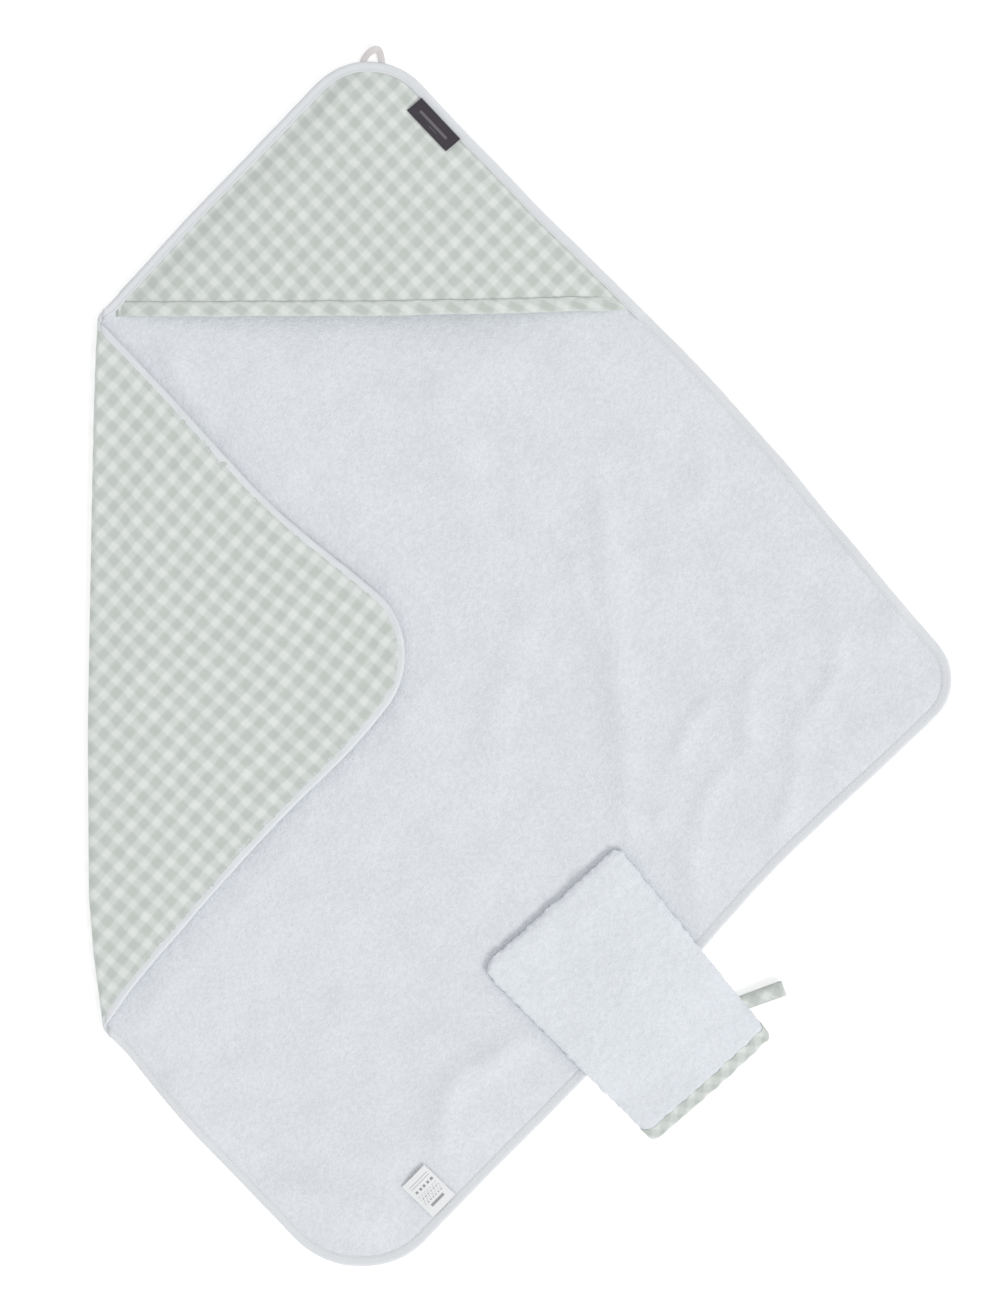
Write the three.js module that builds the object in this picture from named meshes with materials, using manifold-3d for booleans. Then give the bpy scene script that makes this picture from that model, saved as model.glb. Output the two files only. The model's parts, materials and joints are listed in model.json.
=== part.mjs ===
// Hooded baby towel laid flat, with its wash mitt. Millimetres, +Z up.
// The origin is the middle of the square towel, on the floor under it. +Y runs to the hood's point.
//
// The towel is two square layers, muslin below and terry above, held in a white bias binding.
// Its left corner is folded over onto the terry. The hood is a triangle sewn over the top corner.
import * as THREE from 'three';
import { mergeVertices } from 'three/addons/utils/BufferGeometryUtils.js';
import Module from 'manifold-3d';

// ---------------------------------------------------------------- driving dimensions

// The square, and how the cloth lies: a little taller than wide, and leaning slightly.
const TOWEL_SIDE = 750;
const HALF_DIAGONAL = TOWEL_SIDE / Math.SQRT2;
const TOP = [6, HALF_DIAGONAL * 1.031];
const RIGHT = [HALF_DIAGONAL * 0.973, -8];
const BOTTOM = [-1, -HALF_DIAGONAL * 1.013];
const LEFT = [-HALF_DIAGONAL * 0.981, -2];
const TOP_RADIUS = 62;
const RIGHT_RADIUS = 45;
const BOTTOM_RADIUS = 78;
const FLAP_TIP_RADIUS = 70;

// The fold: the left corner turns over along x = FOLD_X, and its tip then lies at FLAP_TIP.
// The cloth bent round the fold leaves the flap's side there shorter by FOLD_USES at each end.
const FOLD_X = -224;
const FLAP_TIP = [63, 25];
const FOLD_USES = 10;

// Layers. CLEAR is the gap between pieces that touch.
const CLEAR = 0.3;
const MUSLIN_THICKNESS = 1.6;
const TOWEL_THICKNESS = 5.6;
const FOLD_GAP = 1.0;
const HINGE_Z = TOWEL_THICKNESS + FOLD_GAP / 2;

// Bias binding: a strip folded round the edge, with a wall outside and a lip above and below.
const BINDING_WIDTH = 9;
const BINDING_LIP = 0.6;
const BINDING_WALL = 0.8;

// Hood: its free edge, its arch over the terry, and the line behind which it stays flat.
const HOOD_FRONT_Y = 301;
const HOOD_SPLIT_Y = 430;
const HOOD_BACK_Y = 512;
const HOOD_INSET = 12;
const HOOD_BASE_Z = 6.8;
const HOOD_ARCH = 12;
const HOOD_LINING_THICKNESS = 1.4;
const HOOD_PANEL_THICKNESS = 1.0;
const HOOD_BINDING_WIDTH = 13;
const HOOD_BINDING_LIP = 0.5;

// Hanging loop: a tape bent into an arch outside the top corner.
const HANGING_LOOP = { x: 10, width: 23, height: 15, tape: 6.5, thickness: 2.2, z: 3.2 };

// Labels, each sewn by one side to the inner edge of the binding.
const WOVEN_LABEL = { along: 98, length: 48, width: 16, thickness: 0.7, z: 12.0 };
const CARE_LABEL = { along: 629, length: 27, width: 37, thickness: 0.6, z: 5.9 };

// Wash mitt: two terry panels, sewn on three sides, lying half on the towel and half on the floor.
const MITT_PLACE = [162, -202];
const MITT_TURN = THREE.MathUtils.degToRad(-48.1);
const MITT_LENGTH = 202;
const MITT_WIDTH = 151;
const MITT_CORNER_RADIUS = 14;
const MITT_PANEL = 2.4;
const MITT_SEAM_GAP = 1.9;
const MITT_ON_TOWEL_Z = 6.2;
const MITT_ON_FLOOR_Z = 1.1;
const MITT_STEP_START = 124;
const MITT_STEP_END = 152;
const MITT_CROWN_Z = 19;
const MITT_MOUTH_CROWN_Z = 17;
const MITT_BINDING_WIDTH = 9;
const MITT_BINDING_LIP = 0.5;

// Mitt loop: a gingham tape folded in two, standing off the mitt's side near its mouth.
const MITT_LOOP = { along: 169, lean: -22, length: 30, width: 12, height: 7.4, tape: 0.9 };

const ARC_STEPS = 9;

// ---------------------------------------------------------------- materials

function cloth(color, roughness) {
  return new THREE.MeshStandardMaterial({ color, roughness, metalness: 0 });
}

const terryCloth = cloth(0xe9ebef, 1.0);
const ginghamMuslin = cloth(0xcfd8cf, 0.95);
const whiteBinding = cloth(0xe4e7e9, 0.9);
const ginghamBinding = cloth(0xc6d0c6, 0.95);
const loopTape = cloth(0xddd8d4, 0.85);
const darkLabel = cloth(0x433e45, 0.7);
const satinLabel = cloth(0xe2e3ea, 0.45);

// ---------------------------------------------------------------- small helpers

const wasm = await Module();
wasm.setup();
const lerp = THREE.MathUtils.lerp;

function solidOf(geometry) {
  const bare = geometry.clone();
  bare.deleteAttribute('normal');
  bare.deleteAttribute('uv');
  const merged = mergeVertices(bare);
  return new wasm.Manifold(new wasm.Mesh({
    numProp: 3,
    vertProperties: new Float32Array(merged.attributes.position.array),
    triVerts: new Uint32Array(merged.index.array),
  }));
}

function geometryOf(solid) {
  const mesh = solid.getMesh();
  const geometry = new THREE.BufferGeometry();
  geometry.setAttribute('position', new THREE.BufferAttribute(mesh.vertProperties, 3));
  geometry.setIndex(new THREE.BufferAttribute(mesh.triVerts, 1));
  return geometry;
}

const join = (a, b) => geometryOf(solidOf(a).add(solidOf(b)));
const cut = (a, ...tools) => geometryOf(tools.reduce((left, tool) => left.subtract(solidOf(tool)), solidOf(a)));
const common = (a, b) => geometryOf(solidOf(a).intersect(solidOf(b)));

function piece(name, geometry, material) {
  const mesh = new THREE.Mesh(geometry, material);
  mesh.name = name;
  return mesh;
}

// Where two lines cross, each given by a point and a direction.
function crossing(point, direction, otherPoint, otherDirection) {
  const denominator = direction[0] * otherDirection[1] - direction[1] * otherDirection[0];
  const gap = [otherPoint[0] - point[0], otherPoint[1] - point[1]];
  const t = (gap[0] * otherDirection[1] - gap[1] * otherDirection[0]) / denominator;
  return [point[0] + t * direction[0], point[1] + t * direction[1]];
}

// A counter-clockwise outline of straight sides and rounded corners.
// corners: [x, y, radius]. insets: how far the side after each corner moves inwards.
function roundedOutline(corners, insets) {
  const count = corners.length;
  const sides = corners.map((corner, i) => {
    const next = corners[(i + 1) % count];
    const length = Math.hypot(next[0] - corner[0], next[1] - corner[1]);
    const direction = [(next[0] - corner[0]) / length, (next[1] - corner[1]) / length];
    const start = [corner[0] - direction[1] * insets[i], corner[1] + direction[0] * insets[i]];
    return { direction, start };
  });
  const shape = new THREE.Shape();
  corners.forEach((corner, i) => {
    const before = sides[(i + count - 1) % count];
    const after = sides[i];
    const tip = crossing(before.start, before.direction, after.start, after.direction);
    const radius = corner[2] - Math.max(insets[i], 0);
    if (radius <= 0) {
      i === 0 ? shape.moveTo(...tip) : shape.lineTo(...tip);
      return;
    }
    const headings = [before, after].map(({ direction }) => Math.atan2(direction[1], direction[0]));
    const turn = (headings[1] - headings[0] + 2 * Math.PI) % (2 * Math.PI);
    const back = radius * Math.tan(turn / 2);
    const start = [tip[0] - before.direction[0] * back, tip[1] - before.direction[1] * back];
    const centre = [start[0] - before.direction[1] * radius, start[1] + before.direction[0] * radius];
    i === 0 ? shape.moveTo(...start) : shape.lineTo(...start);
    shape.absarc(...centre, radius, headings[0] - Math.PI / 2, headings[0] - Math.PI / 2 + turn, false);
  });
  shape.closePath();
  return shape;
}

function slab(shape, bottom, top) {
  const options = { depth: top - bottom, bevelEnabled: false, curveSegments: ARC_STEPS };
  return new THREE.ExtrudeGeometry(shape, options).translate(0, 0, bottom);
}

// A box bent to shape: place(a, b, c) gives the point for three fractions of the box's sides.
function bentBox(stepsA, stepsB, place) {
  const geometry = new THREE.BoxGeometry(1, 1, 1, stepsA, stepsB, 1);
  const position = geometry.attributes.position;
  for (let i = 0; i < position.count; i += 1) {
    const fractions = [position.getX(i), position.getY(i), position.getZ(i)].map((value) => value + 0.5);
    position.setXYZ(i, ...place(...fractions));
  }
  return geometry;
}

// ---------------------------------------------------------------- towel outlines

function pointAtX(start, end, x) {
  const t = (x - start[0]) / (end[0] - start[0]);
  return [x, lerp(start[1], end[1], t)];
}

const foldTop = pointAtX(TOP, LEFT, FOLD_X);
const foldBottom = pointAtX(BOTTOM, LEFT, FOLD_X);
const openFlapTip = [2 * FOLD_X - FLAP_TIP[0], FLAP_TIP[1]];

// The last side of each outline is the fold.
const mainCorners = [
  [...foldBottom, 0],
  [...BOTTOM, BOTTOM_RADIUS],
  [...RIGHT, RIGHT_RADIUS],
  [...TOP, TOP_RADIUS],
  [...foldTop, 0],
];
const flapCorners = [
  [FOLD_X, foldTop[1] - FOLD_USES, 0],
  [...openFlapTip, FLAP_TIP_RADIUS],
  [FOLD_X, foldBottom[1] + FOLD_USES, 0],
];

function clothOutline(corners, inset, foldInset) {
  const insets = corners.map((_, i) => (i === corners.length - 1 ? foldInset : inset));
  return roundedOutline(corners, insets);
}

// ---------------------------------------------------------------- towel layers

// A layer is thinner at its rim, where it runs into the binding.
function layer(corners, [bottom, top], [rimBottom, rimTop]) {
  const field = clothOutline(corners, BINDING_WIDTH + CLEAR, CLEAR);
  const rim = clothOutline(corners, BINDING_WALL + CLEAR, CLEAR);
  return join(slab(field, bottom, top), slab(rim, rimBottom, rimTop));
}

function muslinLayer(corners) {
  return layer(corners, [0, MUSLIN_THICKNESS], [BINDING_LIP + CLEAR, MUSLIN_THICKNESS]);
}

function terryLayer(corners) {
  const bottom = MUSLIN_THICKNESS + CLEAR;
  return layer(corners, [bottom, TOWEL_THICKNESS], [bottom, TOWEL_THICKNESS - BINDING_LIP - CLEAR]);
}

// The binding follows the edge and stops at the fold, where both cutting tools run past it.
function binding(corners) {
  const pastFold = -5;
  const channel = clothOutline(corners, BINDING_WALL, pastFold);
  const middle = clothOutline(corners, BINDING_WIDTH, pastFold);
  return cut(
    slab(clothOutline(corners, 0, CLEAR), 0, TOWEL_THICKNESS),
    slab(channel, BINDING_LIP, TOWEL_THICKNESS - BINDING_LIP),
    slab(middle, -1, TOWEL_THICKNESS + 1),
  );
}

// One layer bent round the fold, as half a tube about the fold's axis.
function foldBend(bottom, top) {
  const outer = HINGE_Z - bottom;
  const inner = HINGE_Z - top;
  const shape = new THREE.Shape();
  shape.absarc(0, 0, outer, Math.PI / 2, 1.5 * Math.PI, false);
  shape.absarc(0, 0, inner, 1.5 * Math.PI, Math.PI / 2, true);
  shape.closePath();
  const length = foldTop[1] - foldBottom[1] - 2 * BINDING_WIDTH;
  return slab(shape, 0, length)
    .rotateX(Math.PI / 2)
    .translate(FOLD_X, foldTop[1] - BINDING_WIDTH, HINGE_Z);
}

function towel() {
  const group = new THREE.Group();
  group.add(
    piece('muslin_backing', muslinLayer(mainCorners), ginghamMuslin),
    piece('terry_towel', terryLayer(mainCorners), terryCloth),
    piece('edge_binding', binding(mainCorners), whiteBinding),
    piece('muslin_fold', foldBend(0, MUSLIN_THICKNESS), ginghamMuslin),
    piece('terry_fold', foldBend(MUSLIN_THICKNESS + CLEAR, TOWEL_THICKNESS), terryCloth),
  );
  return group;
}

// The flap is drawn open, to the left of the fold, and its group turns it over onto the towel.
function cornerFlap() {
  const group = new THREE.Group();
  const toHinge = (geometry) => geometry.translate(-FOLD_X, 0, -HINGE_Z);
  group.add(
    piece('muslin_flap', toHinge(muslinLayer(flapCorners)), ginghamMuslin),
    piece('terry_flap', toHinge(terryLayer(flapCorners)), terryCloth),
    piece('flap_binding', toHinge(binding(flapCorners)), whiteBinding),
  );
  group.position.set(FOLD_X, 0, HINGE_Z);
  group.rotation.y = Math.PI;
  return group;
}

// ---------------------------------------------------------------- hood

// x where the towel's edge from its top corner, moved inwards, crosses a height y.
function sideX(corner, y, inset) {
  const run = [corner[0] - TOP[0], corner[1] - TOP[1]];
  const sideways = (inset * Math.hypot(...run)) / Math.abs(run[1]);
  return TOP[0] + (run[0] * (y - TOP[1])) / run[1] - Math.sign(run[0]) * sideways;
}

// The hood rises from its sewn sides to a parabola that grows towards its free edge.
// widthScale above 1 carries the same arch past the sides, for a tool that cuts right through.
function hoodSheet(front, back, low, high, widthScale = 1) {
  const acrossSteps = 14;
  return bentBox(acrossSteps, 1, (a, b, c) => {
    const y = lerp(front, back, b);
    const across = (2 * a - 1) * widthScale;
    const x = lerp(sideX(LEFT, y, HOOD_INSET), sideX(RIGHT, y, HOOD_INSET), (across + 1) / 2);
    const grown = (TOP[1] - y) / (TOP[1] - HOOD_FRONT_Y);
    const z = HOOD_BASE_Z + HOOD_ARCH * grown * (1 - across * across);
    return [x, y, z + lerp(low, high, c)];
  });
}

const liningSpan = [0, HOOD_LINING_THICKNESS];
const panelBottom = HOOD_LINING_THICKNESS + CLEAR;
const panelSpan = [panelBottom, panelBottom + HOOD_PANEL_THICKNESS];

function hoodPoint(span) {
  const outline = clothOutline(mainCorners, HOOD_INSET, CLEAR);
  const sheet = hoodSheet(HOOD_SPLIT_Y + CLEAR, HOOD_BACK_Y, ...span);
  return common(sheet, slab(outline, 0, 2 * HOOD_BASE_Z + HOOD_ARCH));
}

function hoodFront(span) {
  return hoodSheet(HOOD_FRONT_Y + BINDING_WALL + CLEAR, HOOD_SPLIT_Y - CLEAR, ...span);
}

function hoodBinding() {
  const inside = [-CLEAR, panelSpan[1] + CLEAR];
  const outside = [inside[0] - HOOD_BINDING_LIP, inside[1] + HOOD_BINDING_LIP];
  const back = HOOD_FRONT_Y + HOOD_BINDING_WIDTH;
  return cut(
    hoodSheet(HOOD_FRONT_Y, back, ...outside),
    hoodSheet(HOOD_FRONT_Y + BINDING_WALL, back + 5, ...inside, 1.1),
  );
}

function hood() {
  const group = new THREE.Group();
  group.add(
    piece('hood_point_lining', hoodPoint(liningSpan), terryCloth),
    piece('hood_point_panel', hoodPoint(panelSpan), ginghamMuslin),
    piece('hood_front_lining', hoodFront(liningSpan), terryCloth),
    piece('hood_front_panel', hoodFront(panelSpan), ginghamMuslin),
    piece('hood_binding', hoodBinding(), ginghamBinding),
  );
  return group;
}

// ---------------------------------------------------------------- loop and labels

// The height of the towel's rounded top corner: the radius falls short of the sharp corner.
function topEdgeY() {
  const sides = [LEFT, RIGHT].map((corner) => Math.atan2(corner[0] - TOP[0], TOP[1] - corner[1]));
  const halfAngle = (sides[1] - sides[0]) / 2;
  return TOP[1] - TOP_RADIUS * (1 / Math.sin(halfAngle) - 1);
}

// An arch of tape: an outer arch with a narrower arch taken out of it for the eye.
function hangingLoop() {
  const { x, width, height, tape, thickness, z } = HANGING_LOOP;
  const arch = (path, halfWidth, top) => {
    path.moveTo(-halfWidth, 0);
    path.bezierCurveTo(-halfWidth, top * 0.7, -halfWidth * 0.4, top, 0.1 * halfWidth, top);
    path.bezierCurveTo(halfWidth * 0.9, top, halfWidth, top * 0.6, halfWidth * 0.9, 0);
    path.closePath();
    return path;
  };
  const outer = slab(arch(new THREE.Shape(), width / 2, height), 0, thickness);
  const eye = slab(arch(new THREE.Shape(), width / 2 - tape, height - tape), -1, thickness + 1);
  const start = topEdgeY() + CLEAR;
  const loop = cut(outer, eye.translate(0, -0.5, 0));
  return piece('hanging_loop', loop.translate(x, start, z), loopTape);
}

// A label lying flat inside the edge that runs from one corner to the next.
// along: how far its middle is down that edge, width: how far it reaches in from the binding.
function label(name, start, end, { along, length, width, thickness, z }, material) {
  const run = Math.atan2(end[1] - start[1], end[0] - start[0]);
  const inset = BINDING_WIDTH + CLEAR;
  const geometry = new THREE.BoxGeometry(length, width, thickness, 6, 4, 1);
  const mesh = piece(name, geometry.translate(along, -inset - width / 2, thickness / 2), material);
  mesh.position.set(start[0], start[1], z);
  mesh.rotation.z = run;
  return mesh;
}

// ---------------------------------------------------------------- wash mitt

// In the mitt's own frame +X runs from its closed end to its mouth, and +Y to its loop.
function mittBackZ(x) {
  const step = THREE.MathUtils.smoothstep(x, MITT_STEP_START, MITT_STEP_END);
  return lerp(MITT_ON_TOWEL_Z, MITT_ON_FLOOR_Z, step);
}

// The front panel leaves the back one at the seams and is highest along the middle.
function mittFrontZ(x, y) {
  const seam = mittBackZ(x) + MITT_PANEL + MITT_SEAM_GAP;
  const opened = THREE.MathUtils.smoothstep(x, 0, 0.6 * MITT_LENGTH);
  const crown = lerp(MITT_CROWN_Z, MITT_MOUTH_CROWN_Z, x / MITT_LENGTH);
  const across = (2 * y) / MITT_WIDTH;
  return seam + (crown - seam) * opened * (1 - across * across);
}

function mittSheet([start, end], [low, high], heightAt, widthScale = 1) {
  const lengthSteps = Math.max(1, Math.round((end - start) / 9));
  return bentBox(lengthSteps, 12, (a, b, c) => {
    const x = lerp(start, end, a);
    const y = (b - 0.5) * MITT_WIDTH * widthScale;
    return [x, y, heightAt(x, y) + lerp(low, high, c)];
  });
}

// The two corners at the closed end are round.
function mittPanel(heightAt) {
  const half = MITT_WIDTH / 2;
  const corners = [
    [0, -half, MITT_CORNER_RADIUS],
    [MITT_LENGTH + 10, -half, 0],
    [MITT_LENGTH + 10, half, 0],
    [0, half, MITT_CORNER_RADIUS],
  ];
  const outline = slab(roundedOutline(corners, [0, 0, 0, 0]), -5, MITT_CROWN_Z + 10);
  const sheet = mittSheet([0, MITT_LENGTH - BINDING_WALL - CLEAR], [0, MITT_PANEL], heightAt);
  return common(sheet, outline);
}

function mittBinding(heightAt) {
  const start = MITT_LENGTH - MITT_BINDING_WIDTH;
  const inside = [-CLEAR, MITT_PANEL + CLEAR];
  const outside = [inside[0] - MITT_BINDING_LIP, inside[1] + MITT_BINDING_LIP];
  return cut(
    mittSheet([start, MITT_LENGTH], outside, heightAt),
    mittSheet([start - 5, MITT_LENGTH - BINDING_WALL], inside, heightAt, 1.02),
  );
}

// A tape folded in two and held open: a flat ring, seen from the side, as wide as the tape.
function mittLoop() {
  const { along, lean, length, width, height, tape } = MITT_LOOP;
  const roundEnd = length - height / 2;
  const drop = (inset) => {
    const radius = height / 2 - inset;
    const shape = new THREE.Shape();
    shape.moveTo(inset, -radius * 0.55);
    shape.lineTo(roundEnd, -radius);
    shape.absarc(roundEnd, 0, radius, -Math.PI / 2, Math.PI / 2, false);
    shape.lineTo(inset, radius * 0.55);
    shape.closePath();
    return shape;
  };
  const outer = slab(drop(0), -width / 2, width / 2);
  const geometry = cut(outer, slab(drop(tape), -width, width)).rotateX(Math.PI / 2);
  const mesh = piece('mitt_loop', geometry, ginghamBinding);
  const root = MITT_WIDTH / 2 + width / 2 * Math.sin(THREE.MathUtils.degToRad(-lean)) + CLEAR;
  mesh.position.set(along, root, height / 2 + CLEAR);
  mesh.rotation.z = THREE.MathUtils.degToRad(90 + lean);
  return mesh;
}

function mitt() {
  const group = new THREE.Group();
  group.add(
    piece('mitt_back', mittPanel(mittBackZ), terryCloth),
    piece('mitt_front', mittPanel(mittFrontZ), terryCloth),
    piece('mitt_back_binding', mittBinding(mittBackZ), ginghamBinding),
    piece('mitt_front_binding', mittBinding(mittFrontZ), ginghamBinding),
    mittLoop(),
  );
  group.position.set(...MITT_PLACE, 0);
  group.rotation.z = MITT_TURN;
  return group;
}

// ---------------------------------------------------------------- the whole object

const hoodedTowel = new THREE.Group();
hoodedTowel.add(
  towel(),
  cornerFlap(),
  hood(),
  hangingLoop(),
  label('woven_label', TOP, RIGHT, WOVEN_LABEL, darkLabel),
  label('care_label', RIGHT, BOTTOM, CARE_LABEL, satinLabel),
  mitt(),
);

export default hoodedTowel;
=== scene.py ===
"""Hooded baby towel laid flat, with its wash mitt: the looks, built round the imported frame.

Every length is in metres. Heights in the towel are counted up from its muslin side.
"""
import json
import math

import bpy
import numpy as np
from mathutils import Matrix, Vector


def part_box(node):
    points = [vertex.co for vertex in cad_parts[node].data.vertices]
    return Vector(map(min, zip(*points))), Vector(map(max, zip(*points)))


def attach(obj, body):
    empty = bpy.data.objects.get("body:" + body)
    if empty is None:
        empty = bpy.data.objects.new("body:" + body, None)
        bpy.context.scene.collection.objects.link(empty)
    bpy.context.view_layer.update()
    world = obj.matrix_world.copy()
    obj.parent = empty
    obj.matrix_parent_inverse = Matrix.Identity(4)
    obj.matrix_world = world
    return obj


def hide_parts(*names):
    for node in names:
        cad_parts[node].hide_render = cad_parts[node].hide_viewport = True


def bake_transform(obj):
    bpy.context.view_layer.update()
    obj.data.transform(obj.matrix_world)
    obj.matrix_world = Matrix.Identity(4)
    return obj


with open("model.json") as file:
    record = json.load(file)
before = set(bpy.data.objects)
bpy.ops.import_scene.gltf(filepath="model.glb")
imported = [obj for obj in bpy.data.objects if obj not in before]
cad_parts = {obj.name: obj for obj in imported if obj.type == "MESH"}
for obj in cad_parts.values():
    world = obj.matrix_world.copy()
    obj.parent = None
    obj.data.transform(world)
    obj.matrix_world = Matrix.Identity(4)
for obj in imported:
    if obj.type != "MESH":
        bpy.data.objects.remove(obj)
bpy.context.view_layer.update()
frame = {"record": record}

# ---- dimensions

SIDE = 0.75
HALF_DIAGONAL = SIDE / math.sqrt(2)
TOP = np.array([0.006, HALF_DIAGONAL * 1.031])
RIGHT = np.array([HALF_DIAGONAL * 0.973, -0.008])
BOTTOM = np.array([-0.001, -HALF_DIAGONAL * 1.013])
LEFT = np.array([-HALF_DIAGONAL * 0.981, -0.002])
TOP_RADIUS, RIGHT_RADIUS, BOTTOM_RADIUS, FLAP_RADIUS = 0.062, 0.045, 0.078, 0.070

JOINTS = {joint["name"]: joint for joint in frame["record"]["behaviour"]["joints"]}
FOLD_X, _, HINGE_Z = JOINTS["corner_unfold"]["pos_m"]
FLAP_TIP = np.array([0.063, 0.025])
FOLD_USES = 0.010
CUT_GAP = 0.0003  # between the fold's line and where each cut piece starts
BAND = 0.016

BINDING_WIDTH = 0.0090
MUSLIN = (0.0002, 0.0011)
TERRY = (0.0012, 0.0050)
TERRY_AT_EDGE = 0.00375

HOOD_FRONT_Y = float(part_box("hood_binding")[0][1])
HOOD_ARCH = 0.0115
HOOD_BINDING_WIDTH = 0.0125

CARE_LABEL_PLACE = np.array(JOINTS["care_label_flip"]["pos_m"][:2])

MITT_PLACE = np.array(JOINTS["mitt_open"]["pos_m"][:2])
MITT_TURN = math.radians(-48.1)
MITT_LENGTH, MITT_WIDTH = 0.202, 0.151
MITT_BINDING_WIDTH = 0.0105

CHECK = 0.01532  # one white and one green stripe of the gingham

# ---- camera

CAMERA_HEIGHT = 3.0
VIEW_HEIGHT = 1.1065  # how much of the floor the picture's long side shows
VIEW_CENTRE = (0.1168, 0.0178)
SENSOR = 36  # millimetres, and the lens too

scene = bpy.context.scene


def placed(name, data):
    """A new object in the scene that shows a mesh, a light or a camera."""
    shown = bpy.data.objects.new(name, data)
    scene.collection.objects.link(shown)
    return shown


camera_data = bpy.data.cameras.new("camera")
camera_data.sensor_fit = "AUTO"
camera_data.sensor_width = SENSOR
camera_data.lens = SENSOR * CAMERA_HEIGHT / VIEW_HEIGHT
camera = placed("camera", camera_data)
camera.location = (*VIEW_CENTRE, CAMERA_HEIGHT)
scene.camera = camera

# ---- numbers


def smooth(low, high, x):
    t = np.clip((x - low) / (high - low), 0, 1)
    return t * t * (3 - 2 * t)


def mix(a, b, t):
    return a + (b - a) * t


def columns(*parts):
    """Points from their coordinates: single numbers, one for each point, or columns side by side."""
    count = max(len(part) for part in parts if np.ndim(part))
    return np.column_stack([part if np.ndim(part) else np.full(count, float(part)) for part in parts])


class Noise:
    """Smooth noise from -1 to 1 on a wrapped lattice, the same on every run."""

    def __init__(self, seed):
        self.table = np.random.default_rng(seed).uniform(-1, 1, (256, 256))

    def __call__(self, x, y, size):
        u, v = x / size, y / size
        i, j = np.floor(u).astype(int), np.floor(v).astype(int)
        f, g = u - i, v - j
        f, g = f * f * (3 - 2 * f), g * g * (3 - 2 * g)
        at = lambda a, b: self.table[a % 256, b % 256]
        near = mix(at(i, j), at(i + 1, j), f)
        far = mix(at(i, j + 1), at(i + 1, j + 1), f)
        return mix(near, far, g)


broad, fine, loops, cross = Noise(11), Noise(12), Noise(13), Noise(14)

# ---- outlines


class Outline:
    """A convex counter-clockwise outline of straight sides and rounded corners."""

    def __init__(self, corners, radii):
        self.corners = np.array(corners, float)
        self.radii = radii
        ahead = np.roll(self.corners, -1, axis=0) - self.corners
        self.along = ahead / np.linalg.norm(ahead, axis=1)[:, None]
        self.out = np.stack([self.along[:, 1], -self.along[:, 0]], axis=1)
        self.centres = np.array([self._centre(i) for i in range(len(radii))])

    def _centre(self, i):
        """The middle of the corner's arc: a radius inside both of its sides."""
        before, after = self.out[i - 1], self.out[i]
        inward = np.linalg.solve(np.stack([before, after]), [-self.radii[i]] * 2)
        return self.corners[i] + inward

    def distance(self, p):
        """Signed distance, below 0 inside, and the direction straight out, for points (n, 2)."""
        sides = np.einsum("nik,ik->ni", p[:, None, :] - self.corners[None], self.out)
        nearest = sides.argmax(axis=1)
        far, out = sides.max(axis=1), self.out[nearest].copy()
        for i, radius in enumerate(self.radii):
            if radius == 0:
                continue
            arm = p - self.centres[i]
            in_arc = (arm @ self.along[i - 1] > 0) & (arm @ self.along[i] < 0)
            length = np.linalg.norm(arm, axis=1)
            far[in_arc] = length[in_arc] - radius
            out[in_arc] = arm[in_arc] / np.maximum(length[in_arc], 1e-9)[:, None]
        return far, out

    def rim(self, first, last, step):
        """Points evenly spaced from one corner to a later one, with the outward direction and length."""
        points = []
        for i in range(first, last + 1):
            k = i % len(self.radii)
            if self.radii[k] == 0 or i in (first, last):
                points.append(self.corners[k])
                continue
            start, end = (math.atan2(d[1], d[0]) for d in (self.out[k - 1], self.out[k]))
            turn = (end - start) % (2 * math.pi)
            for angle in start + turn * np.linspace(0, 1, 25):
                arm = np.array([math.cos(angle), math.sin(angle)])
                points.append(self.centres[k] + self.radii[k] * arm)
        return even(np.array(points), step)


def even(points, step):
    """A polyline resampled at even steps: points, outward directions (2-D) and lengths."""
    length = np.r_[0, np.cumsum(np.linalg.norm(np.diff(points, axis=0), axis=1))]
    count = max(2, int(round(length[-1] / step)) + 1)
    s = np.linspace(0, length[-1], count)
    p = np.column_stack([np.interp(s, length, along) for along in points.T])
    ahead = np.gradient(p, axis=0)
    out = np.stack([ahead[:, 1], -ahead[:, 0]], axis=1)
    return p, out / np.linalg.norm(out, axis=1)[:, None], s


def at_x(start, end, x):
    return np.array([x, mix(start[1], end[1], (x - start[0]) / (end[0] - start[0]))])


fold_top, fold_bottom = at_x(TOP, LEFT, FOLD_X), at_x(BOTTOM, LEFT, FOLD_X)
flap_top = fold_top - [0, FOLD_USES]
flap_bottom = fold_bottom + [0, FOLD_USES]
open_tip = np.array([2 * FOLD_X - FLAP_TIP[0], FLAP_TIP[1]])

main_outline = Outline([BOTTOM, RIGHT, TOP, LEFT], [BOTTOM_RADIUS, RIGHT_RADIUS, TOP_RADIUS, 0])
main_rim = Outline(
    [fold_bottom, BOTTOM, RIGHT, TOP, fold_top], [0, BOTTOM_RADIUS, RIGHT_RADIUS, TOP_RADIUS, 0]
)
flap_outline = Outline([flap_top, open_tip, flap_bottom], [0, FLAP_RADIUS, 0])
flap_area = Outline(
    [at_x(open_tip, flap_top, FOLD_X + 0.03), open_tip, at_x(open_tip, flap_bottom, FOLD_X + 0.03)],
    [0, FLAP_RADIUS, 0],
)

# ---- how the cloth lies


def course(start, end):
    """The direction from one point to another, and how far apart they are."""
    run = end - start
    length = np.linalg.norm(run)
    return run / length, length


# Edges that bow: (start, end, how far along, how far out, reach along the edge).
MAIN_BOWS = [(RIGHT, TOP, 0.43, 0.012, 0.26), (BOTTOM, RIGHT, 0.70, -0.008, 0.16)]
FLAP_BOWS = [(flap_top, open_tip, 0.53, -0.010, 0.27), (open_tip, flap_bottom, 0.24, 0.006, 0.17)]


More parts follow.
